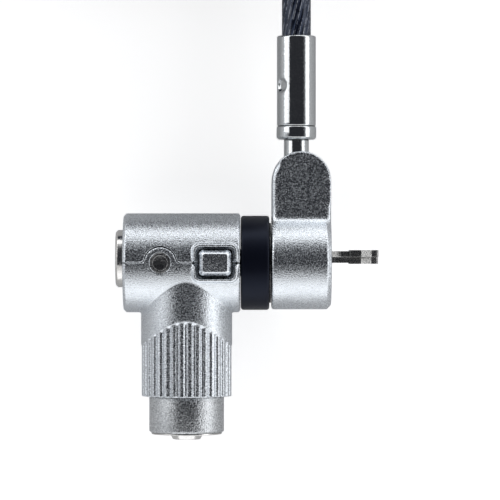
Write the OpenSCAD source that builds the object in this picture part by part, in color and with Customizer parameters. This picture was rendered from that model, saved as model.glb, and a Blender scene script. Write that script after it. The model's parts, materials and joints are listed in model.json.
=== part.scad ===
// Laptop cable lock, in millimetres.
// The lock lies on its side: +X is the way the hooks point, +Y is the way the
// cable leaves, and +Z is up from the surface that it lies on.
// The lock itself is drawn with the body's axis along X, and X = 0 at the
// body's rear face. place() then moves it so that the origin is under its middle.

/* [Body] */
// Diameter of the round body
body_d = 18.8; // [18.4:0.1:19.2]
// Length of the round body
body_len = 22.1; // [21.9:0.1:22.3]
// How far the rear button stands out of the body
cap_proud = 1.5; // [1.3:0.1:1.8]
// Diameter of the rear button
cap_d = 10.9; // [10.5:0.1:10.9]
// Height of the rear button's centre above the body's axis
cap_rise = 0.8; // [0.6:0.1:0.8]
// Distance of the cross pin from the rear face
pin_x = 7.1; // [6.9:0.1:7.1]
// Diameter of the cross pin
pin_d = 3.8; // [3.6:0.1:4.1]

/* [Barrel] */
// Diameter of the ribbed barrel
barrel_d = 17.3; // [17:0.1:17.6]
// Distance of the barrel's axis from the rear face
barrel_x = 11.9; // [11.8:0.1:12]
// How far the barrel reaches below the body's axis
barrel_reach = 25.3; // [25:0.1:26]
// Number of cast grooves round the barrel
rib_count = 34; // [30:1:36]
// Diameter of the lock cylinder's collar
collar_d = 14.2; // [13.8:0.1:14.6]
// Length of the lock cylinder's collar
collar_len = 6.85; // [6.5:0.05:7]

/* [Square button] */
// Length of the button along the body
button_w = 6.1; // [6:0.1:6.2]
// Width of the button round the body
button_h = 4.9; // [4.8:0.1:5]
// Distance of the button's centre from the rear face
button_x = 17.4; // [17.2:0.1:17.4]
// How far the button can be pressed
button_travel = 1.2; // [1:0.1:1.2]

/* [Keeper] */
// Diameter of the black ring
ring_d = 17.9; // [17.5:0.1:18.2]
// Diameter of the keeper's round part
keeper_d = 17.7; // [17.4:0.1:18]
// Length of the keeper along the body's axis
keeper_len = 11.3; // [11.2:0.1:11.4]
// Thickness of the keeper's tab
tab_t = 7.4; // [7.2:0.1:7.6]
// Height of the centre of the tab's dome above the axis
dome_rise = 15.5; // [15.4:0.1:15.6]

/* [Hooks] */
// How far the hooks stand out of the keeper
hook_reach = 9; // [8.8:0.1:9.2]
// Thickness of one hook's arm
arm_t = 1.1; // [1:0.05:1.15]
// Width of the two closed hooks
closed_w = 5.8; // [5.4:0.1:6]
// How far the rear button is pressed to spread the hooks
drive_travel = 1.2; // [1:0.1:1.2]

/* [Cable] */
// Diameter of the cable
cable_d = 5.5; // [5:0.1:5.5]
// Diameter of the ferrule's sleeve
sleeve_d = 7.4; // [7.2:0.1:7.6]
// Length of the ferrule's sleeve
sleeve_len = 17.2; // [16:0.1:18]

/* [Hidden] */
$fn = 64;

body_r = body_d / 2;
far = 60;
part_gap = 0.1;

// Arch of the parting line round the cross pin
hump_r = 3.05;
hump_foot = 0.75;
knuckle_z = 7.35;

// Ribs of the barrel, and the arch that ends them
rib_step = 0.12;
rib_groove_r = 0.42;
arch_r = 10.4;
arch_y = -5.2;
notch = 0.95;

// Dents in the cross pin's ends
pin_dent = 1.9;
pin_dent_r = 1.35;

// Cavities of the housing
rear_bore_r = cap_d / 2 + 0.15;
rear_bore_end = 12.5;
spring_seat_x = 15;
rod_r = 1.5;
rod_bore_r = 1.6;
groove_r = 0.95;

// Square button, its raised frame and the yoke under it
frame_top = body_r + 0.35;
recess_z = body_r - 1.6;
button_base = 6.2;
button_top = body_r + 0.45;
bevel = 0.75;
yoke_t = 1.2;
yoke_w = 5.6;
yoke_foot = -4.6;
yoke_seat = -8.1;

// Spindle, black ring and keeper
flange_x = 19.2;
flange_end = 20.6;
flange_r = 4.2;
neck_r = 2.6;
shoulder_r = 6;
spindle_r = 3.5;
ring_x = body_len + 0.1;
ring_end = ring_x + 5.4;
washer_t = 0.3;
keeper_x = 28;
keeper_end = keeper_x + keeper_len;
keeper_r = keeper_d / 2;
bearing_end = 31;
spindle_end = 32.2;
carrier_x = 34.6;
carrier_r = 6;
tab_mid = keeper_x + keeper_len / 2;
tab_blend = 1.5;

// Hooks: one lies above the other, and both turn on one pin
pivot_x = 37;
pivot_r = 0.6;
hub_r = 1.15;
hook_split = 1.1;
hook_gap = 0.01;
head_t = arm_t + 0.2;
head_x = 42.7;
shoulder_x = 45;
lead_x = 47;
lead_z = 1.75;
root_z = 2.1;
tip_x = keeper_end + hook_reach;
wedge_x = 32.3;
wedge_tip = 34.5;
wedge_slope = 0.48;
tail_x = 34.2;

// Stud and ferrule, on the cable's axis
stud_x = 32.75;
stud_r = 2.375;
stud_head_r = 3;
collar_y = 23.4;
sleeve_y = collar_y + 2.5;
sleeve_end = sleeve_y + sleeve_len;
shank_r = 1.9;
shank_end = 30;
cable_r = cable_d / 2;

// Lock cylinder
cyl_end = -(barrel_reach + collar_len);
cyl_top = -12;
cyl_r = 6;
plug_r = 4;
plug_top = -11.4;
disc_count = 6;
disc_pitch = 2.7;
disc_first = -29.6;
sidebar_out = 0.45;
plate_t = 0.35;
boss_t = 1;
lock_low = cyl_end - plate_t - boss_t;

// Where the lock lies, and the cable's route on the surface
mid_x = (tip_x - cap_proud) / 2;
mid_y = (sleeve_end + lock_low) / 2;
coil_r = [33, 27.5, 22];
tie_t = 0.6;
coil_mid = [-23.65, 85];
coil_low = tie_t + 0.05;
coil_high = coil_low + 3 * cable_d;
loop_high = coil_high + 3.5;
// Turn of the crimp sleeve round the coil's middle
sleeve_angle = -14;
route = [[9.35, 38, 9.4], [9.35, 41, 9.4], [9.35, 44, 9.4], [9.35, 47, 9.3], [9.35, 50, 9.1],
    [9.35, 53, 8.75], [9.35, 56, 8.25], [9.35, 59, 7.65], [9.35, 62, 7], [9.35, 66, 6],
    [9.35, 70, 5], [9.35, 74, 4.2], [9.35, 78, 3.7], [9.35, 82, 3.4], [9.35, 85, 3.4]];

// ---- shared shapes ----

// Moves the lock from its drawing axes to the row's axes
module place() {
    translate([-mid_x, -mid_y, body_r]) children();
}

// A solid cylinder along X from x0 to x1
module rod_x(r, x0, x1) {
    translate([x0, 0, 0]) rotate([0, 90, 0]) cylinder(r = r, h = x1 - x0);
}

// A cylinder along X with its two edges cut back by b0 and b1
module drum_x(r, x0, x1, b0, b1) {
    rod_x(r, x0 + b0, x1 - b1);
    translate([x0, 0, 0]) rotate([0, 90, 0]) cylinder(r1 = r - b0, r2 = r, h = b0);
    translate([x1 - b1, 0, 0]) rotate([0, 90, 0]) cylinder(r1 = r, r2 = r - b1, h = b1);
}

// A solid cylinder along Y from y0 to y1
module rod_y(r, y0, y1) {
    translate([0, y1, 0]) rotate([90, 0, 0]) cylinder(r = r, h = y1 - y0);
}

// A solid cone along Y, of radius r0 at y0 and r1 at y1
module cone_y(r0, r1, y0, y1) {
    translate([0, y1, 0]) rotate([90, 0, 0]) cylinder(r1 = r1, r2 = r0, h = y1 - y0);
}

// A flat rectangle with true round corners, centred
module round_rect(w, h, r) {
    square([w - 2 * r, h], center = true);
    square([w, h - 2 * r], center = true);
    for (i = [-1, 1])
        for (j = [-1, 1])
            translate([i * (w / 2 - r), j * (h / 2 - r)]) circle(r);
}

// A box from one corner to the other
module block(low, high) {
    translate(low) cube(high - low);
}

// One ring of points of a tube about a route's point
function ring_at(p, along, r, n) =
    let (u = along / norm(along), side = [u[1], -u[0], 0] / norm([u[1], -u[0], 0]), up = cross(side, u))
    [for (i = [0:n - 1]) p + r * (cos(360 * i / n) * side + sin(360 * i / n) * up)];

// A round tube swept along a list of points
module swept(points, r, n) {
    last = len(points) - 1;
    rings = [for (i = [0:last])
        ring_at(points[i], points[min(i + 1, last)] - points[max(i - 1, 0)], r, n)];
    verts = [for (ring = rings) for (p = ring) p];
    walls = [for (i = [0:last - 1]) for (j = [0:n - 1])
        [i * n + j, i * n + (j + 1) % n, (i + 1) * n + (j + 1) % n, (i + 1) * n + j]];
    caps = [[for (j = [n - 1:-1:0]) j], [for (j = [0:n - 1]) last * n + j]];
    polyhedron(verts, concat(walls, caps), convexity = 8);
}

// A compression spring along Z from z = 0, with its turns worked out
module coil_spring(r, wire, length, turns) {
    steps = turns * 10;
    swept([for (i = [0:steps])
        [r * cos(36 * i), r * sin(36 * i), wire / 2 + (length - wire) * i / steps]], wire / 2, 5);
}

// ---- housing ----

// Points of an arc about c, from angle a0 to a1
function arc(c, r, a0, a1, steps) =
    [for (i = [0:steps]) let (a = a0 + (a1 - a0) * i / steps) c + r * [cos(a), sin(a)]];

// The parting line from end to end: flat, with an arch of radius r round the cross pin.
// side is 1 where the arch stands up and -1 where it hangs down; base is the flat's height
function seam(r, side, base) =
    let (lean = asin(hump_foot / (r + hump_foot)), foot_x = (r + hump_foot) * cos(lean))
    let (line = concat(
        arc([-foot_x, hump_foot], hump_foot, -90, -lean, 4),
        arc([0, 0], r, 180 - lean, lean, 20),
        arc([foot_x, hump_foot], hump_foot, 180 + lean, 270, 4)))
    concat([[-5, base]], [for (p = line) [pin_x + p[0], base + side * p[1]]], [[far, base]]);

// What the upper half doesn't fill; side is -1 inside, where its tongue hangs round the pin
module below_seam(side) {
    polygon(concat([[-5, -far]], seam(hump_r + side * part_gap / 2, side, part_gap / 2), [[far, -far]]));
}

// What the lower half doesn't fill
module above_seam(side) {
    polygon(concat([[-5, far]], seam(hump_r - side * part_gap / 2, side, -part_gap / 2), [[far, far]]));
}

// The space inside the round body
module body_spaces() {
    translate([0, cap_rise, 0]) rod_x(rear_bore_r, -1, rear_bore_end);
    rod_x(2.5, rear_bore_end - 1, spring_seat_x);
    rod_x(rod_bore_r, spring_seat_x - 1, flange_x);
    rod_x(flange_r + 0.05, flange_x - 0.1, flange_end + 0.05);
    rod_x(neck_r + 0.05, flange_end, body_len + 1);
    // hole for the cross pin
    translate([pin_x, 0, -15]) cylinder(r = pin_d / 2 + 0.05, h = 30);
    // recess round the square button, its guide, and the yoke's slot
    translate([button_x, 0, recess_z])
        linear_extrude(5) round_rect(button_w + 1.3, button_h + 1.2, 1);
    for (s = [-1, 1])
        translate([button_x + s * (button_w / 2 + 0.65), 0, recess_z])
            rotate([0, 0, 45]) translate([-notch / 2, -notch / 2, 0]) cube([notch, notch, 5]);
    translate([button_x, 0, button_base - button_travel - 0.1])
        linear_extrude(5) round_rect(button_w + 0.2, button_h + 0.2, 1);
    block([button_x - yoke_t / 2 - 0.2, -yoke_w / 2 - 0.15, yoke_foot - button_travel - 0.15],
        [button_x + yoke_t / 2 + 0.2, yoke_w / 2 + 0.15, button_base + 0.1]);
    translate([button_x, 0, yoke_seat]) cylinder(r = 1.75, h = 4);
}

// The round body with the raised frame of the square button
module body_form() {
    drum_x(body_r, 0, body_len, 0.5, 0.35);
    translate([button_x, 0, 6])
        linear_extrude(frame_top - 6 - 0.25) round_rect(button_w + 2.55, button_h + 2.5, 1.5);
    translate([button_x, 0, 6])
        linear_extrude(frame_top - 6) round_rect(button_w + 2.05, button_h + 2, 1.25);
}

// The barrel: its ribbed part lies a little deeper and ends above in an arch on each side
module barrel_form() {
    difference() {
        rod_y(barrel_d / 2, -barrel_reach, 0);
        difference() {
            union() {
                difference() {
                    rod_y(barrel_d / 2 + 1, -barrel_reach - 1, -8);
                    rod_y(barrel_d / 2 - rib_step, -barrel_reach - 2, -7);
                }
                for (i = [0:rib_count - 1])
                    rotate([0, 360 * (i + 0.5) / rib_count, 0])
                        translate([barrel_d / 2, 0, 0]) rod_y(rib_groove_r, -barrel_reach - 1, -8);
            }
            translate([0, arch_y, 0]) rod_x(arch_r, -20, 20);
        }
    }
}

module upper_housing() {
    color([0.78, 0.76, 0.73]) place() difference() {
        body_form();
        body_spaces();
        translate([0, 0, knuckle_z - 0.05]) linear_extrude(10) below_seam(1);
        translate([0, 0, -knuckle_z + 0.05 - 10]) linear_extrude(10) below_seam(1);
        translate([0, 0, -knuckle_z]) linear_extrude(2 * knuckle_z) below_seam(-1);
    }
}

module lower_housing() {
    color([0.76, 0.74, 0.71]) place() difference() {
        union() {
            body_form();
            translate([barrel_x, 0, 0]) barrel_form();
        }
        body_spaces();
        translate([barrel_x, 0, 0]) {
            rod_y(cyl_r + 0.05, -barrel_reach - 1, cyl_top);
            rod_y(5.4, cyl_top - 1, -7.4);
            rod_y(2.6, -8, -2);
        }
        // hole for the pin that holds the lock cylinder, from the back
        translate([barrel_x, -22, -9]) cylinder(r = 0.8, h = 4);
        translate([0, 0, knuckle_z]) linear_extrude(10) above_seam(1);
        translate([0, 0, -knuckle_z - 10]) linear_extrude(10) above_seam(1);
        translate([0, 0, -knuckle_z - 0.05]) linear_extrude(2 * knuckle_z + 0.1) above_seam(-1);
    }
}

module cross_pin() {
    color([0.6, 0.6, 0.6]) place() translate([pin_x, 0, 0]) difference() {
        translate([0, 0, 0.2 - body_r]) cylinder(r = pin_d / 2, h = body_d - 0.4);
        for (s = [0, 1])
            mirror([0, 0, s]) translate([0, 0, body_r - pin_dent]) cylinder(r = pin_dent_r, h = 3);
    }
}

module spindle() {
    color([0.55, 0.56, 0.58]) place() difference() {
        union() {
            rod_x(flange_r, flange_x, flange_end);
            rod_x(neck_r, flange_end, ring_x);
            rod_x(shoulder_r, ring_x, ring_end - 0.1);
            rod_x(spindle_r, ring_end - 0.1, bearing_end + 0.1);
            rod_x(2.9, bearing_end + 0.1, bearing_end + 0.7);
            rod_x(spindle_r, bearing_end + 0.7, spindle_end);
        }
        rod_x(rod_bore_r, flange_x - 1, spindle_end + 1);
    }
}

module spindle_ring() {
    color([0.4, 0.4, 0.42]) place() difference() {
        rod_x(4.6, bearing_end + 0.12, bearing_end + 0.68);
        rod_x(2.92, bearing_end, bearing_end + 1);
        block([bearing_end, -6, -1.2], [bearing_end + 1, 0, 1.2]);
    }
}

module black_ring() {
    color([0.06, 0.07, 0.1]) place() difference() {
        drum_x(ring_d / 2, ring_x, ring_end, 0.3, 0.3);
        rod_x(shoulder_r, ring_x - 1, ring_end + 1);
    }
}

module thrust_washer() {
    color([0.5, 0.5, 0.5]) place() difference() {
        rod_x(7.6, ring_end + 0.02, ring_end + 0.02 + washer_t);
        rod_x(spindle_r + 0.1, ring_end - 1, ring_end + 1);
    }
}

// ---- lock cylinder ----

module lock_cylinder() {
    color([0.8, 0.79, 0.77]) place() translate([barrel_x, 0, 0]) difference() {
        union() {
            cone_y(collar_d / 2 - 0.3, collar_d / 2, cyl_end, cyl_end + 0.3);
            rod_y(collar_d / 2, cyl_end + 0.3, -barrel_reach - 0.05);
            rod_y(cyl_r, -barrel_reach - 0.05, cyl_top);
        }
        rod_y(plug_r + 0.05, cyl_end + 0.4, cyl_top + 1);
        rod_y(3.25, cyl_end - 1, cyl_end + 1);
        // the groove that the sidebar rides in, deepest on the sidebar's side
        translate([0.55, 0, 0]) rod_y(plug_r + 0.08, -30.2, -13.8);
        translate([0, -22, -9]) cylinder(r = 0.8, h = 4.1);
    }
}

module face_plate() {
    color([0.55, 0.54, 0.52]) place() translate([barrel_x, 0, 0]) difference() {
        rod_y(collar_d / 2 - 0.4, cyl_end - plate_t, cyl_end);
        rod_y(3.25, cyl_end - 1, cyl_end + 1);
    }
}

module cylinder_pin() {
    color([0.5, 0.5, 0.52]) place()
        translate([barrel_x, -22, 0.6 - barrel_d / 2]) cylinder(r = 0.78, h = 3);
}

module key_plug() {
    color([0.85, 0.84, 0.8]) place() translate([barrel_x, 0, 0]) difference() {
        union() {
            rod_y(plug_r, cyl_end + 0.45, plug_top - 0.6);
            rod_y(3.4, plug_top - 0.7, plug_top);
            rod_y(3.15, cyl_end - plate_t, cyl_end + 0.5);
            cone_y(2.6, 3.15, lock_low, cyl_end - plate_t);
        }
        rod_y(3, disc_first - 1.4, plug_top + 1);
        // keyway
        block([-0.65, lock_low - 1, -2.1], [0.65, disc_first, 2.1]);
        // window for the sidebar
        block([2, -30, -0.55], [5, -14, 0.55]);
    }
}

module tumbler_discs() {
    color([0.75, 0.62, 0.32]) place() translate([barrel_x, 0, 0])
        for (i = [0:disc_count - 1])
            translate([0, disc_first + disc_pitch * i, 0]) difference() {
                rod_y(2.92, -0.9, 0.9);
                block([-0.65, -2, -1.7], [0.65, 2, 1.7]);
                block([2.3, -2, -0.7], [4, 2, 0.7]);
            }
}

module lock_cam() {
    color([0.6, 0.58, 0.55]) place() translate([barrel_x, 0, 0]) {
        rod_y(2.9, plug_top - 1.4, plug_top + 0.1);
        rod_y(3.9, plug_top + 0.1, plug_top + 1.4);
        difference() {
            rod_y(2.2, plug_top + 1.3, -3.7);
            block([-3, plug_top + 1.4, -3], [-0.4, 0, 3]);
        }
    }
}

module cam_clip() {
    color([0.4, 0.4, 0.42]) place() translate([barrel_x, 0, 0]) difference() {
        rod_y(5, plug_top - 0.55, plug_top - 0.1);
        rod_y(3.42, plug_top - 1, plug_top + 1);
        block([-1.5, plug_top - 1, 0], [1.5, plug_top + 1, 6]);
    }
}

module sidebar() {
    color([0.65, 0.65, 0.66]) place() translate([barrel_x, 0, 0])
        block([3.05, -29.8, -0.5], [plug_r + sidebar_out, -14.2, 0.5]);
}

// ---- rear button ----

module rear_button() {
    color([0.85, 0.85, 0.86]) place() translate([0, cap_rise, 0])
        drum_x(cap_d / 2, -cap_proud, 1, 0.4, 0.05);
}

module plunger() {
    color([0.62, 0.62, 0.6]) place() difference() {
        translate([0, cap_rise, 0]) rod_x(cap_d / 2 - 0.15, 1, 11);
        // slot for the cross pin, longer than the pin by the button's travel
        slot_low = pin_x - pin_d / 2 - 0.15 - drive_travel;
        slot_high = pin_x + pin_d / 2 + 0.15;
        translate([(slot_low + slot_high) / 2, 0, -10])
            linear_extrude(20) round_rect(slot_high - slot_low, pin_d + 0.3, pin_d / 2);
        // seat of the drive rod
        rod_x(rod_r, 9.5, 12);
        // room for the lock cam's tail
        block([8.2, -6, -3.5], [12, -3.4, 3.5]);
    }
}

module drive_rod() {
    color([0.7, 0.7, 0.72]) place() {
        rod_x(rod_r, 9.5, button_x - yoke_t / 2 - 0.1 - drive_travel);
        rod_x(groove_r, button_x - yoke_t / 2 - 0.1 - drive_travel, button_x + yoke_t / 2 + 0.1);
        rod_x(rod_r, button_x + yoke_t / 2 + 0.1, wedge_x - 0.05);
    }
}

module rear_button_spring() {
    color([0.5, 0.5, 0.52]) place() translate([11.05, 0, 0]) rotate([0, 90, 0])
        coil_spring(2, 0.4, spring_seat_x - 11.1, 5);
}

// ---- square button ----

module square_button() {
    color([0.74, 0.72, 0.7]) place() translate([button_x, 0, 0]) {
        translate([0, 0, button_base])
            linear_extrude(button_top - bevel - button_base) round_rect(button_w, button_h, 0.95);
        hull() {
            translate([0, 0, button_top - bevel - 0.01])
                linear_extrude(0.01) round_rect(button_w, button_h, 0.95, $fn = 32);
            translate([0, 0, button_top - 0.01])
                linear_extrude(0.01)
                    round_rect(button_w - 2 * bevel, button_h - 2 * bevel, 0.4, $fn = 32);
        }
    }
}

module release_yoke() {
    color([0.6, 0.6, 0.62]) place() translate([button_x, 0, 0]) difference() {
        block([-yoke_t / 2, -yoke_w / 2, yoke_foot], [yoke_t / 2, yoke_w / 2, button_base]);
        // keyhole: narrow round the rod's groove, wide enough above it to let the rod go
        rod_x(groove_r + 0.1, -2, 2);
        block([-2, -groove_r - 0.1, 0], [2, groove_r + 0.1, button_travel]);
        translate([0, 0, button_travel]) rod_x(rod_r + 0.1, -2, 2);
    }
}

module square_button_spring() {
    color([0.5, 0.5, 0.52]) place() translate([button_x, 0, yoke_seat + 0.05])
        coil_spring(1.3, 0.35, yoke_foot - yoke_seat - 0.1, 5);
}

// ---- keeper ----

// The blend between the tab's flat face and the round part, along X
module tab_fillet() {
    centre_z = tab_t / 2 + tab_blend;
    centre_y = sqrt(pow(keeper_r + tab_blend, 2) - centre_z * centre_z);
    share = keeper_r / (keeper_r + tab_blend);
    translate([keeper_x + 0.4, 0, 0]) rotate([90, 0, 90]) linear_extrude(keeper_len - 1.2) difference() {
        polygon([[centre_y, 2], [centre_y, centre_z], [centre_y * share, centre_z * share], [5, 2]]);
        translate([centre_y, centre_z]) circle(tab_blend);
    }
}

module keeper_block() {
    color([0.77, 0.75, 0.72]) place() difference() {
        union() {
            drum_x(keeper_r, keeper_x, keeper_end, 0.3, 0.8);
            translate([0, 0, -tab_t / 2]) linear_extrude(tab_t) {
                translate([keeper_x, 0]) square([keeper_len, dome_rise]);
                translate([tab_mid, dome_rise]) circle(keeper_len / 2);
            }
            tab_fillet();
            mirror([0, 0, 1]) tab_fillet();
        }
        rod_x(spindle_r + 0.05, keeper_x - 1, bearing_end + 0.5);
        rod_x(5, bearing_end, carrier_x + 0.5);
        rod_x(carrier_r + 0.02, carrier_x, keeper_end + 1);
        translate([stud_x, 0, 0]) {
            rod_y(stud_head_r + 0.15, 3, dome_rise + 0.1);
            rod_y(stud_r + 0.06, dome_rise, 30);
        }
    }
}

module stud_plug() {
    color([0.5, 0.5, 0.52]) place() translate([stud_x, 0, 0]) rod_y(stud_head_r + 0.13, 8.6, 12);
}

module hook_carrier() {
    color([0.68, 0.67, 0.65]) place() difference() {
        rod_x(carrier_r, carrier_x, keeper_end - 0.1);
        block([carrier_x - 1, -0.35, -3.8], [keeper_end + 1, 2.6, 3.8]);
        translate([pivot_x, 0, 0]) rod_y(pivot_r, -3.2, 7);
    }
}

module hook_pivot_pin() {
    color([0.5, 0.5, 0.52]) place() translate([pivot_x, 0, 0]) rod_y(pivot_r - 0.01, -3.2, 5.2);
}

module spreader_wedge() {
    half = (wedge_tip - wedge_x - 0.5) * wedge_slope;
    color([0.6, 0.6, 0.62]) place() {
        rod_x(2.6, wedge_x, wedge_x + 0.5);
        translate([0, 2.25, 0]) rotate([90, 0, 0]) linear_extrude(2.4)
            polygon([[wedge_x + 0.4, -half], [wedge_x + 0.5, -half], [wedge_tip, 0],
                [wedge_x + 0.5, half], [wedge_x + 0.4, half]]);
    }
}

// A hook's outline from above; its head reaches to one side and its tail to the other
module hook_arm() {
    difference() {
        union() {
            translate([pivot_x, 0]) circle(hub_r);
            polygon([[tail_x, -0.27], [wedge_tip, -0.13], [pivot_x, -0.13], [pivot_x, 1.1],
                [pivot_x + 1.5, root_z], [keeper_end + 0.1, root_z], [keeper_end + 1.9, 1.1],
                [head_x + 0.5, 1.1], [head_x + 0.5, -0.95], [pivot_x, -hub_r], [tail_x + 1.3, -1.7],
                [tail_x, -1.5]]);
        }
        translate([pivot_x, 0]) circle(pivot_r + 0.05);
    }
}

// A hook's head: a claw with a slope on its front, and a narrower end
module hook_head() {
    half = closed_w / 2;
    polygon([[head_x, half - 0.25], [head_x + 0.25, half], [shoulder_x, half], [lead_x, lead_z],
        [tip_x - 0.3, lead_z], [tip_x, lead_z - 0.3], [tip_x, 0.5], [tip_x - 0.3, 0.2],
        [lead_x, 0.2], [shoulder_x, -0.95], [head_x, -0.95]]);
}

module hook_upper() {
    color([0.55, 0.54, 0.52]) place() {
        translate([0, hook_split + hook_gap, 0]) rotate([90, 0, 0]) mirror([0, 0, 1]) {
            linear_extrude(arm_t) hook_arm();
            linear_extrude(head_t) hook_head();
        }
    }
}

module hook_lower() {
    color([0.5, 0.49, 0.47]) place() {
        translate([0, hook_split - hook_gap, 0]) rotate([90, 0, 0]) {
            linear_extrude(arm_t) mirror([0, 1]) hook_arm();
            linear_extrude(head_t) mirror([0, 1]) hook_head();
        }
    }
}

// ---- stud, ferrule and cable ----

module cable_stud() {
    color([0.72, 0.72, 0.73]) place() translate([stud_x, 0, 0]) {
        rod_y(stud_head_r, 12.5, dome_rise - 0.05);
        rod_y(stud_r, dome_rise - 0.05, collar_y);
        rod_y(shank_r, collar_y, shank_end);
    }
}

module ferrule_collar() {
    color([0.9, 0.9, 0.91]) place() translate([stud_x, 0, 0]) difference() {
        union() {
            cone_y(3.4, 3.78, collar_y, collar_y + 0.4);
            rod_y(3.78, collar_y + 0.4, sleeve_y - 0.15);
            cone_y(3.78, 3.63, sleeve_y - 0.15, sleeve_y);
        }
        rod_y(shank_r + 0.02, collar_y - 1, sleeve_y + 1);
    }
}

module ferrule_sleeve() {
    color([0.9, 0.9, 0.91]) place() translate([stud_x, 0, 0]) difference() {
        union() {
            rod_y(sleeve_d / 2, sleeve_y, sleeve_end - 0.3);
            cone_y(sleeve_d / 2, sleeve_d / 2 - 0.3, sleeve_end - 0.3, sleeve_end);
        }
        rod_y(shank_r + 0.02, sleeve_y - 1, shank_end + 1);
        rod_y(cable_r + 0.05, shank_end, sleeve_end + 1);
        // crimp mark
        rotate([0, -25, 0]) translate([-sleeve_d / 2 - 1.6, 33.6, 0]) sphere(r = 1.9);
    }
}

module cable_run() {
    color([0.12, 0.13, 0.18]) swept(route, cable_r, 8);
}

module cable_coil() {
    color([0.12, 0.13, 0.18]) translate([coil_mid[0], coil_mid[1], 0]) rotate_extrude()
        translate([coil_r[2] - cable_r, coil_low])
            square([coil_r[0] - coil_r[2] + cable_d, coil_high - coil_low]);
}

module coil_tie() {
    inner = coil_r[2] - cable_r - 0.05;
    outer = coil_r[0] + cable_r + 0.05;
    color([0.1, 0.1, 0.1]) translate([coil_mid[0], coil_mid[1], 0]) rotate([0, 0, 180])
        difference() {
            block([inner - tie_t, -6, 0], [outer + tie_t, 6, coil_high + 0.05 + tie_t]);
            translate([0, 0, coil_low - 0.05]) difference() {
                cylinder(r = outer, h = coil_high - coil_low + 0.1);
                translate([0, 0, -1]) cylinder(r = inner, h = 30);
            }
        }
}

module cable_loop() {
    color([0.12, 0.13, 0.18]) translate([coil_mid[0], coil_mid[1], loop_high]) rotate_extrude()
        translate([coil_r[1], 0]) circle(cable_r);
}

module loop_sleeve() {
    color([0.85, 0.85, 0.86]) translate([coil_mid[0], coil_mid[1], loop_high])
        rotate([0, 0, sleeve_angle]) translate([(coil_r[1] + coil_r[2]) / 2, 7, 0]) rotate([90, 0, 0])
            linear_extrude(14) round_rect(12.1, 6.6, 3.2);
}

upper_housing();
lower_housing();
cross_pin();
spindle();
spindle_ring();
black_ring();
thrust_washer();
lock_cylinder();
face_plate();
cylinder_pin();
rear_button();
plunger();
drive_rod();
rear_button_spring();
square_button();
release_yoke();
square_button_spring();
key_plug();
tumbler_discs();
lock_cam();
cam_clip();
sidebar();
keeper_block();
stud_plug();
hook_carrier();
hook_pivot_pin();
spreader_wedge();
hook_upper();
hook_lower();
cable_stud();
ferrule_collar();
ferrule_sleeve();
cable_run();
cable_coil();
coil_tie();
cable_loop();
loop_sleeve();
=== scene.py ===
"""Laptop cable lock: the looks of every piece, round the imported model's fixed frame.

Lengths are in metres. The lock lies on its back on the floor, with its parting line and the square
button facing up. The lock's axis runs along X, its barrel points to -Y and its cable to +Y.
"""

import json
import math

import bmesh
import bpy
from mathutils import Matrix, Vector


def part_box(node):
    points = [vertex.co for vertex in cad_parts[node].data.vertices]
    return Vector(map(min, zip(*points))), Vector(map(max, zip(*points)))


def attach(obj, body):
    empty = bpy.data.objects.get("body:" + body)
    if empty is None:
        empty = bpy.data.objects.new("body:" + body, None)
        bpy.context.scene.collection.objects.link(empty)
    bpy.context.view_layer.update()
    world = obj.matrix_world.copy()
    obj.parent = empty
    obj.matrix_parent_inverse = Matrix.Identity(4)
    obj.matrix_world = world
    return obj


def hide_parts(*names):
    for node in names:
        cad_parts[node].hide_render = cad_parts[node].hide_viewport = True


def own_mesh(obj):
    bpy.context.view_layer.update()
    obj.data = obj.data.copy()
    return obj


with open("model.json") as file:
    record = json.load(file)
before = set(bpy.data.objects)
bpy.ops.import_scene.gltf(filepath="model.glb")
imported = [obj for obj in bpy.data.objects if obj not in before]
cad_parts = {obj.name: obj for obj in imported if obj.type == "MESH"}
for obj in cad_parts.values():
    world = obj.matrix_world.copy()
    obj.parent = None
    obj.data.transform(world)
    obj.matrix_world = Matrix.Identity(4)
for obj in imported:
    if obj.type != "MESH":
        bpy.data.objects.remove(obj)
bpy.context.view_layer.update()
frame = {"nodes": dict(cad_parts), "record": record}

MM = 0.001
NODES = frame["nodes"]

# The lock's middle line, the cable's line, and what the cable's coil goes round
LINE_Z = 9.4 * MM
COIL_MID = Vector((-23.65, 85, 0)) * MM
CABLE_D = 5.5 * MM


# ---------------------------------------------------------------- camera

CAMERA_HEIGHT = 0.6
PICTURE_WIDTH = 95 * MM
PICTURE_MID = Vector((0.54, -2.37, 9.4)) * MM


def make_camera():
    data = bpy.data.cameras.new("camera")
    data.sensor_width = 36
    data.lens = data.sensor_width * CAMERA_HEIGHT / PICTURE_WIDTH
    data.clip_start = 0.01
    camera = bpy.data.objects.new("camera", data)
    camera.location = PICTURE_MID + Vector((0, 0, CAMERA_HEIGHT))
    bpy.context.scene.collection.objects.link(camera)
    bpy.context.scene.camera = camera


make_camera()


# ---------------------------------------------------------------- meshes

# Vertices this close together are one vertex
SAME_POINT = 1e-6


def finish_mesh(name, bm, angle=40):
    """Turns bm into a piece, shaded smooth except where faces meet at more than angle degrees."""
    bmesh.ops.recalc_face_normals(bm, faces=bm.faces)
    mesh = bpy.data.meshes.new(name)
    for face in bm.faces:
        face.smooth = True
    for edge in bm.edges:
        if len(edge.link_faces) == 2:
            edge.smooth = edge.calc_face_angle() < math.radians(angle)
    bm.to_mesh(mesh)
    bm.free()
    piece = bpy.data.objects.new(name, mesh)
    bpy.context.scene.collection.objects.link(piece)
    return piece


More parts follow.
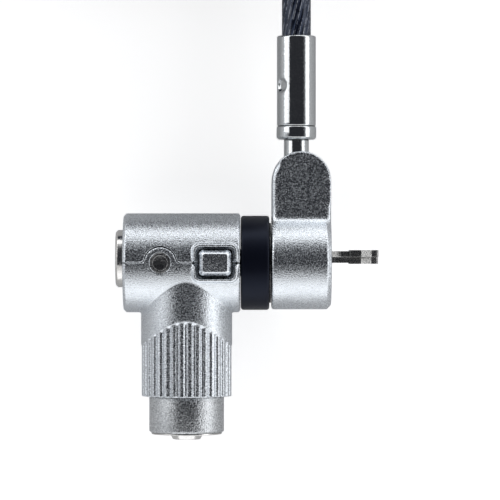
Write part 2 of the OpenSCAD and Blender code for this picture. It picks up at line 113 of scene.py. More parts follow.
def rounded_copy(node, width, segments=3, angle=32, smooth=40):
    """A copy of a CAD node with its edges rounded over, as a machined part's are.

    Edges of more than angle degrees are rounded, and those below smooth are shaded smooth."""
    bm = bmesh.new()
    bm.from_mesh(NODES[node].data)
    bmesh.ops.remove_doubles(bm, verts=bm.verts, dist=SAME_POINT)
    bmesh.ops.dissolve_limit(bm, angle_limit=math.radians(0.5), verts=bm.verts, edges=bm.edges)
    bmesh.ops.recalc_face_normals(bm, faces=bm.faces)
    sharp = [e for e in bm.edges if len(e.link_faces) == 2
             and e.calc_face_angle() > math.radians(angle)]
    bmesh.ops.bevel(bm, geom=sharp, offset=width, offset_type="OFFSET", segments=segments,
                    profile=0.5, affect="EDGES", clamp_overlap=True)
    piece = finish_mesh("look_" + node, bm, smooth)
    piece.data.materials.clear()
    return piece


def cast_copy(node, voxel, rounds, softer=()):
    """A copy of a CAD node with every edge softened, as a die casting's are.

    rounds counts the passes of smoothing. softer lists stretches with larger fillets, each as its
    passes, lowest y, highest y and highest x."""
    mesh = NODES[node].data.copy()
    mesh.materials.clear()
    piece = bpy.data.objects.new("look_" + node, mesh)
    bpy.context.scene.collection.objects.link(piece)
    remesh = piece.modifiers.new("remesh", "REMESH")
    remesh.mode = "VOXEL"
    remesh.voxel_size = voxel
    graph = bpy.context.evaluated_depsgraph_get()
    fine = bpy.data.meshes.new_from_object(piece.evaluated_get(graph))
    piece.modifiers.clear()
    piece.data = fine
    bm = bmesh.new()
    bm.from_mesh(fine)
    for passes, low_y, high_y, high_x in ((rounds, -math.inf, math.inf, math.inf),) + softer:
        chosen = [v for v in bm.verts if low_y < v.co.y < high_y and v.co.x < high_x]
        for _ in range(passes):
            bmesh.ops.smooth_vert(bm, verts=chosen, factor=0.5, use_axis_x=True, use_axis_y=True,
                                  use_axis_z=True)
    for face in bm.faces:
        face.smooth = True
    bm.to_mesh(fine)
    bm.free()
    return piece


def tube(name, points, radius, sides):
    """A round tube along points. Its UVs are the length so far in metres and the share of a turn."""
    bm = bmesh.new()
    layer = bm.loops.layers.uv.new("UVMap")
    ahead = [(points[min(i + 1, len(points) - 1)] - points[max(i - 1, 0)]).normalized()
             for i in range(len(points))]
    out = Vector((0, 0, 1))
    rings = []
    run = []
    so_far = 0.0
    for i, point in enumerate(points):
        out = (out - ahead[i] * out.dot(ahead[i])).normalized()
        side = ahead[i].cross(out)
        so_far += (point - points[i - 1]).length if i else 0.0
        run.append(so_far)
        ring = []
        for k in range(sides):
            a = 2 * math.pi * k / sides
            ring.append(bm.verts.new(point + radius * (out * math.cos(a) + side * math.sin(a))))
        rings.append(ring)
    for i in range(len(rings) - 1):
        for k in range(sides):
            n = (k + 1) % sides
            face = bm.faces.new((rings[i][k], rings[i][n], rings[i + 1][n], rings[i + 1][k]))
            turns = (k, k + 1, k + 1, k)
            runs = (i, i, i + 1, i + 1)
            for loop, turn, at in zip(face.loops, turns, runs):
                loop[layer].uv = (run[at], turn / sides)
    bm.faces.new(rings[0])
    bm.faces.new(rings[-1])
    return finish_mesh(name, bm, 60)


def lathe(name, outline, place, steps):
    """Turns an outline of (radius, height) points about its height axis, then places it."""
    bm = bmesh.new()
    rings = []
    for radius, height in outline:
        ring = []
        for k in range(steps):
            a = 2 * math.pi * k / steps
            point = Vector((radius * math.cos(a), radius * math.sin(a), height))
            ring.append(bm.verts.new(place @ point))
        rings.append(ring)
    for low, high in zip(rings, rings[1:]):
        for k in range(steps):
            n = (k + 1) % steps
            bm.faces.new((low[k], low[n], high[n], high[k]))
    bm.faces.new(rings[0])
    bm.faces.new(rings[-1])
    return finish_mesh(name, bm, 50)


def corner(mid, radius, start, end, steps=5):
    """Points of a rounded corner in an outline, from one angle in degrees to another."""
    angles = [math.radians(start + (end - start) * i / steps) for i in range(steps + 1)]
    return [(mid[0] + radius * math.cos(a), mid[1] + radius * math.sin(a)) for a in angles]


# ---------------------------------------------------------------- the cable

# The stretch from the ferrule to the coil, as the CAD model has it
ROUTE = [Vector(p) * MM for p in [
    (9.35, 38, 9.4), (9.35, 41, 9.4), (9.35, 44, 9.4), (9.35, 47, 9.3), (9.35, 50, 9.1),
    (9.35, 53, 8.75), (9.35, 56, 8.25), (9.35, 59, 7.65), (9.35, 62, 7), (9.35, 66, 6),
    (9.35, 70, 5), (9.35, 74, 4.2), (9.35, 78, 3.7), (9.35, 82, 3.4), (9.35, 85, 3.4)]]

# The coil: three turns beside and three on top of each other, and a loop closed by a crimp sleeve
COIL_R = [33 * MM, 27.5 * MM, 22 * MM]
COIL_Z = [3.4 * MM, 8.9 * MM, 14.4 * MM, 20.65 * MM]
TURN = 2 * math.pi
# How far round the coil each change of height or radius takes, and the loop's ends in the sleeve
CLIMB = math.radians(80)
CROSS = math.radians(100)
CROSS_INNER = math.radians(130)
SLEEVE_HOLD = math.radians(32)
LOOP_OUT = math.radians(110)
LAYER_2 = 3 * TURN - CLIMB - CROSS
LAYER_3 = 6 * TURN - 2 * CLIMB - CROSS - CROSS_INNER
LOOP_START = 9 * TURN - 2 * CLIMB - CROSS - CROSS_INNER
LOOP_END = LOOP_START + TURN + SLEEVE_HOLD - math.radians(3)
SHIFTS_R = [
    (LAYER_2, LAYER_2 + CROSS, COIL_R[0], COIL_R[1]),
    (LAYER_3, LAYER_3 + CROSS_INNER, COIL_R[1], COIL_R[2]),
    (LOOP_START + SLEEVE_HOLD, LOOP_START + SLEEVE_HOLD + LOOP_OUT, COIL_R[2], COIL_R[1])]
SHIFTS_Z = [
    (TURN - CLIMB, TURN, COIL_Z[0], COIL_Z[1]),
    (2 * TURN - CLIMB, 2 * TURN, COIL_Z[1], COIL_Z[2]),
    (4 * TURN - 2 * CLIMB - CROSS, 4 * TURN - CLIMB - CROSS, COIL_Z[2], COIL_Z[1]),
    (5 * TURN - 2 * CLIMB - CROSS, 5 * TURN - CLIMB - CROSS, COIL_Z[1], COIL_Z[0]),
    (LOOP_START - 2 * TURN - CLIMB, LOOP_START - 2 * TURN, COIL_Z[0], COIL_Z[1]),
    (LOOP_START - TURN - CLIMB, LOOP_START - TURN, COIL_Z[1], COIL_Z[2]),
    (LOOP_START - CLIMB, LOOP_START, COIL_Z[2], COIL_Z[3])]


def shifted(start, shifts, angle):
    """start plus every shift (from angle, to angle, from value, to value) done by this angle."""
    value = start
    for first, last, before, after in shifts:
        t = min(1.0, max(0.0, (angle - first) / (last - first)))
        value += (after - before) * t * t * (3 - 2 * t)
    return value


def coil_point(angle):
    """A point on the cable's middle line, this far round the coil."""
    r = shifted(COIL_R[0], SHIFTS_R, angle)
    z = shifted(COIL_Z[0], SHIFTS_Z, angle)
    return COIL_MID + Vector((r * math.cos(angle), r * math.sin(angle), z))


def smooth_route(points, parts):
    """A smooth curve through points, with this many parts between each two."""
    ends = [2 * points[0] - points[1]] + points + [2 * points[-1] - points[-2]]
    found = []
    for a, b, c, d in zip(ends, ends[1:], ends[2:], ends[3:]):
        for i in range(parts):
            t = i / parts
            found.append(0.5 * (2 * b + (c - a) * t + (2 * a - 5 * b + 4 * c - d) * t * t
                                + (3 * b - a - 3 * c + d) * t * t * t))
    return found


def make_cable():
    """The whole cable as one tube. Returns it with its middle line and length."""
    steps_a_turn = 60
    steps = int(LOOP_END / TURN * steps_a_turn)
    path = smooth_route(ROUTE, 3)
    path += [coil_point(LOOP_END * i / steps) for i in range(steps + 1)]
    length = sum((b - a).length for a, b in zip(path, path[1:]))
    cable = tube("look_cable", path, CABLE_D / 2, 24)
    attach(cable, "cable")
    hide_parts("cable_run", "cable_coil", "cable_loop")
    return cable, path, length


cable, cable_path, cable_length = make_cable()


def make_crimp_sleeve():
    """The pressed oval sleeve that closes the loop at the cable's end."""
    half_wide = 6.05 * MM
    half_high = 3.3 * MM
    mid_r = (COIL_R[1] + COIL_R[2]) / 2
    mid_angle = LOOP_START + SLEEVE_HOLD / 2
    length = 14 * MM
    bands = 3
    band_depth = 0.38 * MM
    band_slope = 1.6
    end_round = 0.5 * MM
    end_slope = 40
    waist_depth = 0.35 * MM
    waist_width = 1.2 * MM
    rows = 56
    sides = 48
    bm = bmesh.new()
    rings = []
    for i in range(rows + 1):
        share = i / rows
        band = math.sin(bands * math.pi * share) ** 2
        pressed = band_depth * min(1.0, band_slope * band)
        pressed += end_round * max(0.0, 1 - min(share, 1 - share) * end_slope)
        angle = mid_angle + (share - 0.5) * length / mid_r
        ring = []
        for k in range(sides):
            a = 2 * math.pi * k / sides
            flat = math.copysign(1, math.cos(a)) * min(1, 4 * abs(math.cos(a)))
            across = (half_wide - half_high) * flat
            across += (half_high - pressed) * math.cos(a)
            up = (half_high - pressed) * math.sin(a)
            waist = waist_depth * math.exp(-(across / waist_width) ** 2)
            up -= math.copysign(min(waist, abs(up)), up)
            r = mid_r + across
            ring.append(bm.verts.new(COIL_MID + Vector((r * math.cos(angle), r * math.sin(angle),
                                                        COIL_Z[3] + up))))
        rings.append(ring)
    for low, high in zip(rings, rings[1:]):
        for k in range(sides):
            n = (k + 1) % sides
            bm.faces.new((low[k], low[n], high[n], high[k]))
    bm.faces.new(rings[0])
    bm.faces.new(rings[-1])
    sleeve = finish_mesh("look_loop_sleeve", bm, 50)
    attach(sleeve, "cable")
    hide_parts("loop_sleeve")
    return sleeve


def make_tie():
    """The woven strap round the coil, which bends with the coil's curve, and its lapped end."""
    gap = 0.1 * MM
    inner = COIL_R[2] - CABLE_D / 2 - gap
    outer = COIL_R[0] + CABLE_D / 2 + gap
    low = 0.6 * MM
    high = COIL_Z[2] + CABLE_D / 2 + gap
    thick = 0.5 * MM
    edge_round = 0.12 * MM
    round_r = 2.2 * MM
    half_wide = 6 * MM
    outline = corner((outer - round_r, high - round_r), round_r, 90, 0)
    outline += corner((outer - round_r, low + round_r), round_r, 0, -90)
    outline += corner((inner + round_r, low + round_r), round_r, -90, -180)
    outline += corner((inner + round_r, high - round_r), round_r, 180, 90)
    count = len(outline)
    mid_r = (inner + outer) / 2
    mid_z = (low + high) / 2
    columns = 12
    bm = bmesh.new()
    layer = bm.loops.layers.uv.new("UVMap")

    def strap(first, last, lift):
        """Adds a strip of strap over the outline's points first to last, lifted off it this far."""
        grid = []
        run = [0.0]
        for i in range(first, last + 1):
            r, z = outline[i % count]
            r0, z0 = outline[(i - 1) % count]
            r1, z1 = outline[(i + 1) % count]
            normal = Vector((z0 - z1, r1 - r0)).normalized()
            if normal.dot(Vector((r - mid_r, z - mid_z))) < 0:
                normal = -normal
            if i > first:
                run.append(run[-1] + math.hypot(r - r0, z - z0))
            rows = []
            for side in (0, 1):
                at_r = r + normal.x * (lift + side * thick)
                at_z = z + normal.y * (lift + side * thick)
                row = []
                for k in range(columns + 1):
                    y = half_wide * (2 * k / columns - 1)
                    edge = edge_round * (abs(y) / half_wide) ** 8 * (1 if side else -1)
                    reach = math.sqrt(max((at_r - normal.x * edge) ** 2 - y * y, 0))
                    row.append(bm.verts.new((COIL_MID.x - reach, COIL_MID.y + y,
                                             at_z - normal.y * edge)))
                rows.append(row)
            grid.append(rows)

        def face(corners, uvs):
            """Adds a face with its UVs."""
            new = bm.faces.new(corners)
            for loop, uv in zip(new.loops, uvs):
                loop[layer].uv = uv

        closed = last - first == count
        for i in range(len(grid) - 1):
            here, there = grid[i], grid[i + 1]
            for k in range(columns):
                n = k + 1
                y0 = half_wide * (2 * k / columns - 1)
                y1 = half_wide * (2 * n / columns - 1)
                uvs = ((run[i], y0), (run[i], y1), (run[i + 1], y1), (run[i + 1], y0))
                for side in (0, 1):
                    face((here[side][k], here[side][n], there[side][n], there[side][k]), uvs)
            for k in (0, columns):
                y = half_wide * (2 * k / columns - 1)
                face((here[0][k], here[1][k], there[1][k], there[0][k]),
                     ((run[i], y), (run[i], y), (run[i + 1], y), (run[i + 1], y)))
        if not closed:
            for rows in (grid[0], grid[-1]):
                for k in range(columns):
                    face((rows[0][k], rows[0][k + 1], rows[1][k + 1], rows[1][k]), ((0, 0),) * 4)

    strap(0, count, 0)
    # The lapped end, over the outline's outer side
    strap(2, 9, thick + 0.02 * MM)
    bmesh.ops.remove_doubles(bm, verts=bm.verts, dist=SAME_POINT)
    tie = finish_mesh("look_coil_tie", bm, 50)
    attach(tie, "cable")
    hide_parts("coil_tie")
    return tie


crimp_sleeve = make_crimp_sleeve()
tie = make_tie()


# ---------------------------------------------------------------- materials

def add(tree, kind, **inputs):
    """Adds a node and sets or links its inputs, named with _ for a space, or i and a number."""
    node = tree.nodes.new("ShaderNode" + kind)
    for key, value in inputs.items():
        numbered = key[0] == "i" and key[1:].isdigit()
        socket = node.inputs[int(key[1:]) if numbered else key.replace("_", " ")]
        if isinstance(value, bpy.types.NodeSocket):
            tree.links.new(value, socket)
        else:
            socket.default_value = value
    return node


def calc(tree, how, a, b=0.0):
    """What a Math node makes of one or two values."""
    node = add(tree, "Math", i0=a, i1=b)
    node.operation = how
    return node.outputs[0]


def new_material(name):
    """A new material, its node tree and its shader."""
    material = bpy.data.materials.new(name)
    material.use_nodes = True
    tree = material.node_tree
    return material, tree, tree.nodes["Principled BSDF"]


def blend_of(tree, share, first, second):
    """Mixes two colours by a share."""
    node = tree.nodes.new("ShaderNodeMix")
    node.data_type = "RGBA"
    tree.links.new(share, node.inputs[0])
    for socket, colour in ((node.inputs[6], first), (node.inputs[7], second)):
        if isinstance(colour, bpy.types.NodeSocket):
            tree.links.new(colour, socket)
        else:
            socket.default_value = (*colour, 1)
    return node.outputs[2]


def mapped(tree, value, low, high, to_low, to_high):
    """A value from low to high, stretched to run from to_low to to_high and held there."""
    node = add(tree, "MapRange", i0=value, i1=low, i2=high, i3=to_low, i4=to_high)
    return node.outputs[0]


def noise(tree, coordinates, size, detail=2.0, rough=0.5):
    """Noise whose lumps are this many metres across."""
    node = add(tree, "TexNoise", Vector=coordinates, Scale=1 / size, Detail=detail, Roughness=rough)
    return node.outputs["Fac"]


def crevice_shade_mask(tree, reach):
    """1 in the open, down to 0 in seams, gaps and corners narrower than reach: the mask for the
    painted shade laid there.
    """
    node = add(tree, "AmbientOcclusion", Distance=reach)
    node.samples = 8
    return mapped(tree, node.outputs["AO"], 0.3, 0.75, 0.0, 1.0)


# Painted shade: the near-black colour laid into seams, gaps and corners, where shade falls
PAINTED_SHADE_COLOUR = (0.02, 0.02, 0.024)
WORN_COLOUR = (0.95, 0.94, 0.92)
# Cosines of the angle between a worn edge's normal and the rounded one: no wear, and full wear
WORN_FROM, WORN_TO = 0.995, 0.9
# How much of its roughness a fully worn edge keeps
WORN_POLISH = 0.35


def metal(name, light, dark, roughness, grain, height, wear=0.0, edge=0.12 * MM, flat_only=False):
    """A metal with a blasted or machined grain of this size and height, brighter worn edges, and
    painted shade darkening its seams, gaps and corners.

    light and dark are the colours that it mottles between, and roughness its two limits. wear is
    the share of worn colour on the edges, and edge the edges' width. flat_only leaves the grain
    off the faces that don't look straight up."""
    material, tree, shader = new_material(name)
    where = add(tree, "TexCoord").outputs["Object"]
    fine = noise(tree, where, grain, 1.0, 0.5)
    broad = noise(tree, where, 2.2 * MM, 3.0)
    mottle = calc(tree, "ADD", calc(tree, "MULTIPLY", fine, 0.85),
                  calc(tree, "MULTIPLY", broad, 0.15))
    colour = blend_of(tree, mapped(tree, mottle, 0.38, 0.62, 0.0, 1.0), dark, light)
    rough = mapped(tree, fine, 0.42, 0.72, roughness[0], roughness[1])
    bevel = add(tree, "Bevel", Radius=edge)
    bevel.samples = 4
    if wear:
        plain = add(tree, "NewGeometry").outputs["Normal"]
        turn = add(tree, "VectorMath", i0=plain, i1=bevel.outputs[0])
        turn.operation = "DOT_PRODUCT"
        worn = mapped(tree, turn.outputs["Value"], WORN_FROM, WORN_TO, 0.0, wear)
        colour = blend_of(tree, worn, colour, WORN_COLOUR)
        polish = mapped(tree, turn.outputs["Value"], WORN_FROM, WORN_TO, 1.0, WORN_POLISH)
        rough = calc(tree, "MULTIPLY", rough, polish)
    # Painted shade: seams, gaps and corners are darkened towards near black by an ambient occlusion
    # mask
    colour = blend_of(tree, crevice_shade_mask(tree, 0.7 * MM), PAINTED_SHADE_COLOUR, colour)
    tree.links.new(colour, shader.inputs["Base Color"])
    shader.inputs["Metallic"].default_value = 1.0
    tree.links.new(rough, shader.inputs["Roughness"])
    bump = add(tree, "Bump", Strength=1.0, Distance=height, Height=fine, Normal=bevel.outputs[0])
    if flat_only:
        facing = add(tree, "SeparateXYZ", Vector=add(tree, "TexCoord").outputs["Normal"]).outputs[2]
        tree.links.new(mapped(tree, facing, 0.9, 0.98, 0.05, 1.0), bump.inputs["Strength"])
    tree.links.new(bump.outputs[0], shader.inputs["Normal"])
    return material


def black_ring_material():
    """Satin black, a little blue where it shines."""
    material, tree, shader = new_material("black_ring")
    where = add(tree, "TexCoord").outputs["Object"]
    fine = noise(tree, where, 0.18 * MM, 2.0)
    broad = noise(tree, where, 3 * MM, 3.0)
    colour = blend_of(tree, broad, (0.002, 0.0025, 0.005), (0.005, 0.006, 0.013))
    tree.links.new(colour, shader.inputs["Base Color"])
    tree.links.new(mapped(tree, fine, 0.3, 0.7, 0.3, 0.44), shader.inputs["Roughness"])
    bevel = add(tree, "Bevel", Radius=0.15 * MM)
    bevel.samples = 4
    height = 0.003 * MM
    bump = add(tree, "Bump", Strength=1.0, Distance=height, Height=fine, Normal=bevel.outputs[0])
    tree.links.new(bump.outputs[0], shader.inputs["Normal"])
    shader.inputs["Specular IOR Level"].default_value = 0.25
    shader.inputs["Specular Tint"].default_value = (0.6, 0.7, 1, 1)
    return material


def cable_material():
    """A smoked clear jacket over twisted strands: strands below, a smooth coat above."""
    material, tree, shader = new_material("cable_jacket")
    uv = add(tree, "SeparateXYZ", Vector=add(tree, "TexCoord").outputs["UV"])
    strands = 18
    lay = 62 * MM
    wires = 61
    wire_lay = 75 * MM

    def wave(count, pitch):
        """A wave over this many wires that go once round the cable in this length."""
        run = calc(tree, "MULTIPLY", uv.outputs[0], -count / pitch)
        turn = calc(tree, "MULTIPLY", uv.outputs[1], count)
        phase = calc(tree, "MULTIPLY", calc(tree, "ADD", run, turn), 2 * math.pi)
        return calc(tree, "SINE", phase)

    strand = mapped(tree, wave(strands, lay), -1, 1, 0, 1)
    wire = mapped(tree, wave(wires, wire_lay), -1, 1, 0, 1)
    where = add(tree, "TexCoord").outputs["Object"]
    patchy = noise(tree, where, 1.6 * MM, 3.0, 0.6)
    shine = calc(tree, "MULTIPLY", calc(tree, "POWER", strand, 2.5),
                 calc(tree, "POWER", wire, 2.0))
    shine = calc(tree, "MULTIPLY", shine, mapped(tree, patchy, 0.42, 0.6, 0.05, 1.0))
    colour = blend_of(tree, shine, (0.003, 0.0045, 0.011), (0.85, 0.88, 0.95))
    tree.links.new(colour, shader.inputs["Base Color"])
    tree.links.new(mapped(tree, patchy, 0.3, 0.7, 0.22, 0.34), shader.inputs["Roughness"])
    shader.inputs["Specular IOR Level"].default_value = 0.6
    shader.inputs["Specular Tint"].default_value = (0.5, 0.65, 1, 1)
    relief = calc(tree, "ADD", strand, calc(tree, "MULTIPLY", wire, 0.25))
    bump = add(tree, "Bump", Strength=0.7, Distance=0.12 * MM, Height=relief)
    tree.links.new(bump.outputs[0], shader.inputs["Normal"])
    shader.inputs["Coat Weight"].default_value = 0.2
    shader.inputs["Coat Roughness"].default_value = 0.12
    shader.inputs["Coat IOR"].default_value = 1.8
    shader.inputs["Coat Tint"].default_value = (0.7, 0.78, 1.0, 1)
    return material


def fabric_material():
    """Black webbing: a fine weave with a fuzz over it."""
    material, tree, shader = new_material("tie_fabric")
    uv = add(tree, "SeparateXYZ", Vector=add(tree, "TexCoord").outputs["UV"])
    pitch = 0.7 * MM
    along = calc(tree, "SINE", calc(tree, "MULTIPLY", uv.outputs[0], 2 * math.pi / pitch))
    across = calc(tree, "SINE", calc(tree, "MULTIPLY", uv.outputs[1], 2 * math.pi / pitch))
    weave = mapped(tree, calc(tree, "MULTIPLY", along, across), -1, 1, 0, 1)
    where = add(tree, "TexCoord").outputs["Object"]
    fuzz = noise(tree, where, 0.12 * MM, 3.0, 0.7)
    colour = blend_of(tree, weave, (0.012, 0.012, 0.014), (0.05, 0.05, 0.056))
    colour = blend_of(tree, mapped(tree, fuzz, 0.5, 0.8, 0.0, 0.5), colour, (0.085, 0.085, 0.09))
    tree.links.new(colour, shader.inputs["Base Color"])
    tree.links.new(mapped(tree, fuzz, 0.3, 0.7, 0.75, 0.95), shader.inputs["Roughness"])
    shader.inputs["Sheen Weight"].default_value = 0.25
    relief = calc(tree, "ADD", weave, calc(tree, "MULTIPLY", fuzz, 0.6))
    bump = add(tree, "Bump", Strength=1.0, Distance=0.12 * MM, Height=relief)
    tree.links.new(bump.outputs[0], shader.inputs["Normal"])
    return material


MATERIALS = {
    "cast_nickel": metal("cast_nickel", (0.86, 0.9, 0.935), (0.62, 0.65, 0.69), (0.17, 0.5),
                         0.2 * MM, 0.065 * MM, 0.5, 0.1 * MM),
    "satin_nickel": metal("satin_nickel", (0.79, 0.81, 0.83), (0.47, 0.485, 0.5), (0.24, 0.48),
                          0.25 * MM, 0.09 * MM, 0.3),
    "button_nickel": metal("button_nickel", (0.86, 0.89, 0.92), (0.58, 0.61, 0.66), (0.2, 0.4),
                           0.26 * MM, 0.09 * MM, 0.3, flat_only=True),
    "polished_nickel": metal("polished_nickel", (0.84, 0.83, 0.81), (0.72, 0.71, 0.69),
                             (0.15, 0.26), 0.3 * MM, 0.01 * MM, 0.3),
    "chrome": metal("chrome", (0.68, 0.7, 0.71), (0.6, 0.62, 0.63), (0.04, 0.2),
                    0.3 * MM, 0.009 * MM, 0.3),
    "black_ring": black_ring_material(),
    "hook_steel": metal("hook_steel", (0.56, 0.555, 0.54), (0.34, 0.34, 0.335), (0.24, 0.36),
                        0.22 * MM, 0.03 * MM, 0.2, 0.03 * MM),
    "inner_steel": metal("inner_steel", (0.48, 0.48, 0.48), (0.34, 0.34, 0.345), (0.25, 0.4),
                         0.25 * MM, 0.08 * MM, 0.3),
    "spring_steel": metal("spring_steel", (0.42, 0.42, 0.44), (0.32, 0.32, 0.34), (0.2, 0.32),
                          0.2 * MM, 0.02 * MM, 0.0),
    "disc_brass": metal("disc_brass", (0.76, 0.6, 0.28), (0.62, 0.47, 0.2), (0.25, 0.4),
                        0.3 * MM, 0.05 * MM, 0.4),
    "cable_jacket": cable_material(),
    "crimp_metal": metal("crimp_metal", (0.78, 0.78, 0.79), (0.6, 0.6, 0.61), (0.28, 0.42),
                         0.35 * MM, 0.08 * MM, 0.3, 0.15 * MM),
    "tie_fabric": fabric_material(),
}
# The square button has the blasted grain on its flat top only
LOOK_OF = {"square_button": "button_nickel"}
SLOT_OF = {part["node"]: part["material_slot"] for part in frame["record"]["subparts"]}
for node_name, node_object in NODES.items():
    node_mesh = node_object.data
    node_mesh.materials.clear()
    node_mesh.materials.append(MATERIALS[SLOT_OF[node_name]])
    for face in node_mesh.polygons:
        face.material_index = 0
SOFT_LOOKS = ((cable, "cable_jacket"), (crimp_sleeve, "crimp_metal"), (tie, "tie_fabric"))
for piece, slot_name in SOFT_LOOKS:
    piece.data.materials.append(MATERIALS[slot_name])


# ---------------------------------------------------------------- pieces with a better shape

def stand_for(piece, node, body):
    """Gives piece a CAD node's place, body and finish."""
    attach(piece, body)
    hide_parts(node)
    if not piece.data.materials:
        piece.data.materials.append(MATERIALS[LOOK_OF.get(node, SLOT_OF[node])])
    return piece


BEHAVIOUR = frame["record"]["behaviour"]
BODY_OF = {node: body for body, nodes in BEHAVIOUR["bodies"].items() for node in nodes}
JOINTS = {joint["name"]: joint for joint in BEHAVIOUR["joints"]}

# Voxel size and rounds of smoothing of the castings. The keeper's tab is softer all over, more so
# down its left rim and where it grows out of the round part.
TAB_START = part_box("keeper_block")[0][1] + 17 * MM
TAB_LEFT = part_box("keeper_block")[0][0] + 1.5 * MM
CAST = {
    "upper_housing": (0.13 * MM, 1, ()),
    "lower_housing": (0.15 * MM, 1, ()),
    "keeper_block": (0.15 * MM, 2, (
        (16, TAB_START, math.inf, math.inf),
        (110, TAB_START + 1 * MM, math.inf, TAB_LEFT),
        (70, TAB_START - 1 * MM, TAB_START + 3 * MM, math.inf)))}


def clear_guide(piece):
    """Sets the walls of the square button's guide back to where the moving button has room."""
    room = 0.09 * MM
    travel = JOINTS["square_button_press"]["range_m"][1]
    low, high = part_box("square_button")
    low = Vector(low) - Vector((room, room, room + travel))
    high = Vector(high) + Vector((room, room, 1 * MM))
    for vertex in piece.data.vertices:
        at = vertex.co
        if all(low[i] < at[i] < high[i] for i in range(3)):
            moves = [(at[i] - low[i], i, low[i]) for i in range(3)]
            moves += [(high[i] - at[i], i, high[i]) for i in range(2)]
            _, axis, value = min(moves)
            at[axis] = value


for node_name, (voxel, rounds, softer) in CAST.items():
    casting = cast_copy(node_name, voxel, rounds, softer)
    clear_guide(casting)
    stand_for(casting, node_name, BODY_OF[node_name])

# How much the edges of the machined pieces are broken, in millimetres
ROUNDED = {
    "cross_pin": 0.08, "black_ring": 0.2, "lock_cylinder": 0.15, "face_plate": 0.12,
    "rear_button": 0.25, "square_button": 0.3, "key_plug": 0.1, "cable_stud": 0.12,
    "ferrule_collar": 0.12, "hook_carrier": 0.1, "spindle_ring": 0.1}
for node_name, width in ROUNDED.items():
    stand_for(rounded_copy(node_name, width * MM), node_name, BODY_OF[node_name])
# The hooks keep crisp facets
for node_name in ("hook_upper", "hook_lower"):
    hook = rounded_copy(node_name, 0.05 * MM, segments=2, angle=20, smooth=18)
    stand_for(hook, node_name, BODY_OF[node_name])


def make_ferrule_sleeve():
    """The chromed tube crimped on the cable, with the punch's dimple in its side."""
    low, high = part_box("ferrule_sleeve")
    radius = (high[0] - low[0]) / 2
    length = high[1] - low[1]
    mid = Vector(((low[0] + high[0]) / 2, low[1], (low[2] + high[2]) / 2))
    place = Matrix.Translation(mid) @ Matrix.Rotation(-math.pi / 2, 4, "X")
    round_r = 0.35 * MM
    mouth = CABLE_D / 2 + 0.02 * MM
    rows = 68
    wall = [(radius, round_r + (length - 2 * round_r) * i / rows) for i in range(1, rows)]
    outline = [(0.5 * MM, 0)]
    outline += corner((radius - round_r, round_r), round_r, -90, 0)
    outline += wall
    outline += corner((radius - round_r, length - round_r), round_r, 0, 90)
    outline += [(mouth, length), (mouth, length - 1 * MM)]
    sleeve = lathe("look_ferrule_sleeve", outline, place, 128)
    dimple_r = 1.35 * MM
    depth = 0.55 * MM
    lean = math.radians(52)
    towards = Vector((-math.sin(lean), 0, math.cos(lean)))
    centre = Vector((mid.x, mid.y + 7.7 * MM, mid.z)) + towards * radius
    for vertex in sleeve.data.vertices:
        away = (vertex.co - centre).length
        if away < dimple_r:
            share = 1 - (away / dimple_r) ** 2
            vertex.co -= towards * depth * share * (2 - share)
    return stand_for(sleeve, "ferrule_sleeve", BODY_OF["ferrule_sleeve"])


make_ferrule_sleeve()


def make_spring(node, along, wire, fixed_end):
    """A spring with closed ends, along an axis (0 for X, 2 for Z).

    fixed_end (0 for the low end, 1 for the high one) is not used: it sets only an anchor that
    nothing reads."""
    low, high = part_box(node)
    turns = 5
    steps = turns * 28
    # The share of the wire that lies flat at each end
    closed = 0.12
    length = high[along] - low[along]
    across = [i for i in range(3) if i != along]
    mid = [(low[i] + high[i]) / 2 for i in range(3)]
    coil_r = (high[across[0]] - low[across[0]] - wire) / 2
    points = []
    for i in range(steps + 1):
        turn = math.pi / 2 * (along == 0) + TURN * turns * i / steps
        rise = min(1.0, max(0.0, (i / steps - closed) / (1 - 2 * closed)))
        point = Vector(mid)
        point[across[0]] += coil_r * math.cos(turn)
        point[across[1]] += coil_r * math.sin(turn)
        point[along] = low[along] + wire / 2 + (length - wire) * rise
        points.append(point)
    spring = stand_for(tube("look_" + node, points, wire / 2, 12), node, BODY_OF[node])
    anchor = list(mid)
    anchor[along] = (low, high)[fixed_end][along]
    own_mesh(spring)


make_spring("rear_button_spring", 0, 0.4 * MM, 1)
make_spring("square_button_spring", 2, 0.35 * MM, 0)


# ---------------------------------------------------------------- floor and light

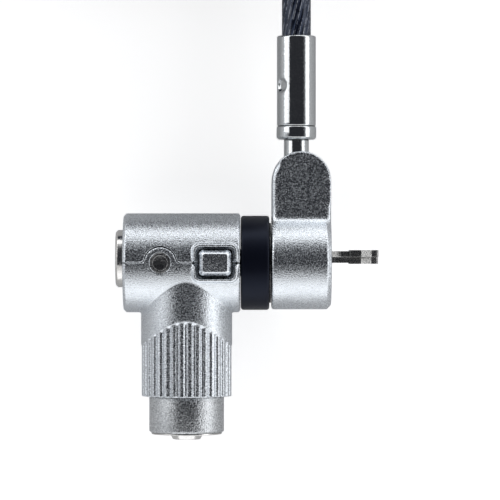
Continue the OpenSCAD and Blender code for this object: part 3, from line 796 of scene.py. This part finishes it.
def make_floor():
    """A pale floor. It glows a little for the camera only, so that it stays near white."""
    bm = bmesh.new()
    bmesh.ops.create_circle(bm, cap_ends=True, segments=96, radius=3.0)
    floor = finish_mesh("floor", bm)
    material, tree, shader = new_material("floor")
    where = add(tree, "TexCoord").outputs["Object"]
    tone = noise(tree, where, 0.02, 2.0)
    colour = blend_of(tree, tone, (0.76, 0.76, 0.76), (0.78, 0.78, 0.78))
    tree.links.new(colour, shader.inputs["Base Color"])
    shader.inputs["Roughness"].default_value = 0.9
    shader.inputs["Specular IOR Level"].default_value = 0.1
    shader.inputs["Emission Color"].default_value = (1, 1, 1, 1)
    seen = add(tree, "LightPath").outputs["Is Camera Ray"]
    tree.links.new(mapped(tree, seen, 0.0, 1.0, 0.03, 0.66), shader.inputs["Emission Strength"])
    floor.data.materials.append(material)


def make_softbox(name, turn, off_zenith, across, along, brightness, shift=0.0):
    """A soft box this many degrees round from +X and down from overhead, facing the lock.

    shift moves it sideways, along its length."""
    distance = 0.5
    a = math.radians(turn)
    b = math.radians(off_zenith)
    towards = Vector((math.sin(b) * math.cos(a), math.sin(b) * math.sin(a), math.cos(b)))
    data = bpy.data.lights.new(name, "AREA")
    data.shape = "RECTANGLE"
    data.size = across
    data.size_y = along
    data.energy = brightness * math.pi * across * along
    light = bpy.data.objects.new(name, data)
    level = Vector((-math.sin(a), math.cos(a), 0))
    down = level.cross(towards)
    place = Vector((0, 0, LINE_Z)) + towards * distance + level * shift
    facing = Matrix((down, level, towards)).transposed().to_4x4()
    light.matrix_world = Matrix.Translation(place) @ facing
    light.visible_camera = False
    bpy.context.scene.collection.objects.link(light)


def make_world():
    """A pale room that is dark overhead, round the camera."""
    world = bpy.data.worlds.new("room")
    bpy.context.scene.world = world
    world.use_nodes = True
    tree = world.node_tree
    background = tree.nodes["Background"]
    up = add(tree, "SeparateXYZ", Vector=add(tree, "TexCoord").outputs["Generated"]).outputs[2]
    share = mapped(tree, up, 0.45, 0.75, 0.0, 1.0)
    colour = blend_of(tree, share, (0.62, 0.63, 0.65), (0.032, 0.033, 0.038))
    tree.links.new(colour, background.inputs["Color"])
    background.inputs["Strength"].default_value = 1.0


make_floor()
make_world()
make_softbox("soft_left", 180, 59, 0.3, 0.9, 1.3, shift=-0.48)
make_softbox("soft_right", 0, 68, 0.22, 0.9, 1.25)
make_softbox("soft_top", 90, 81, 0.32, 0.9, 1.2)
make_softbox("soft_bottom", -90, 61, 0.65, 0.9, 0.72)
bpy.context.scene.view_settings.view_transform = "Standard"
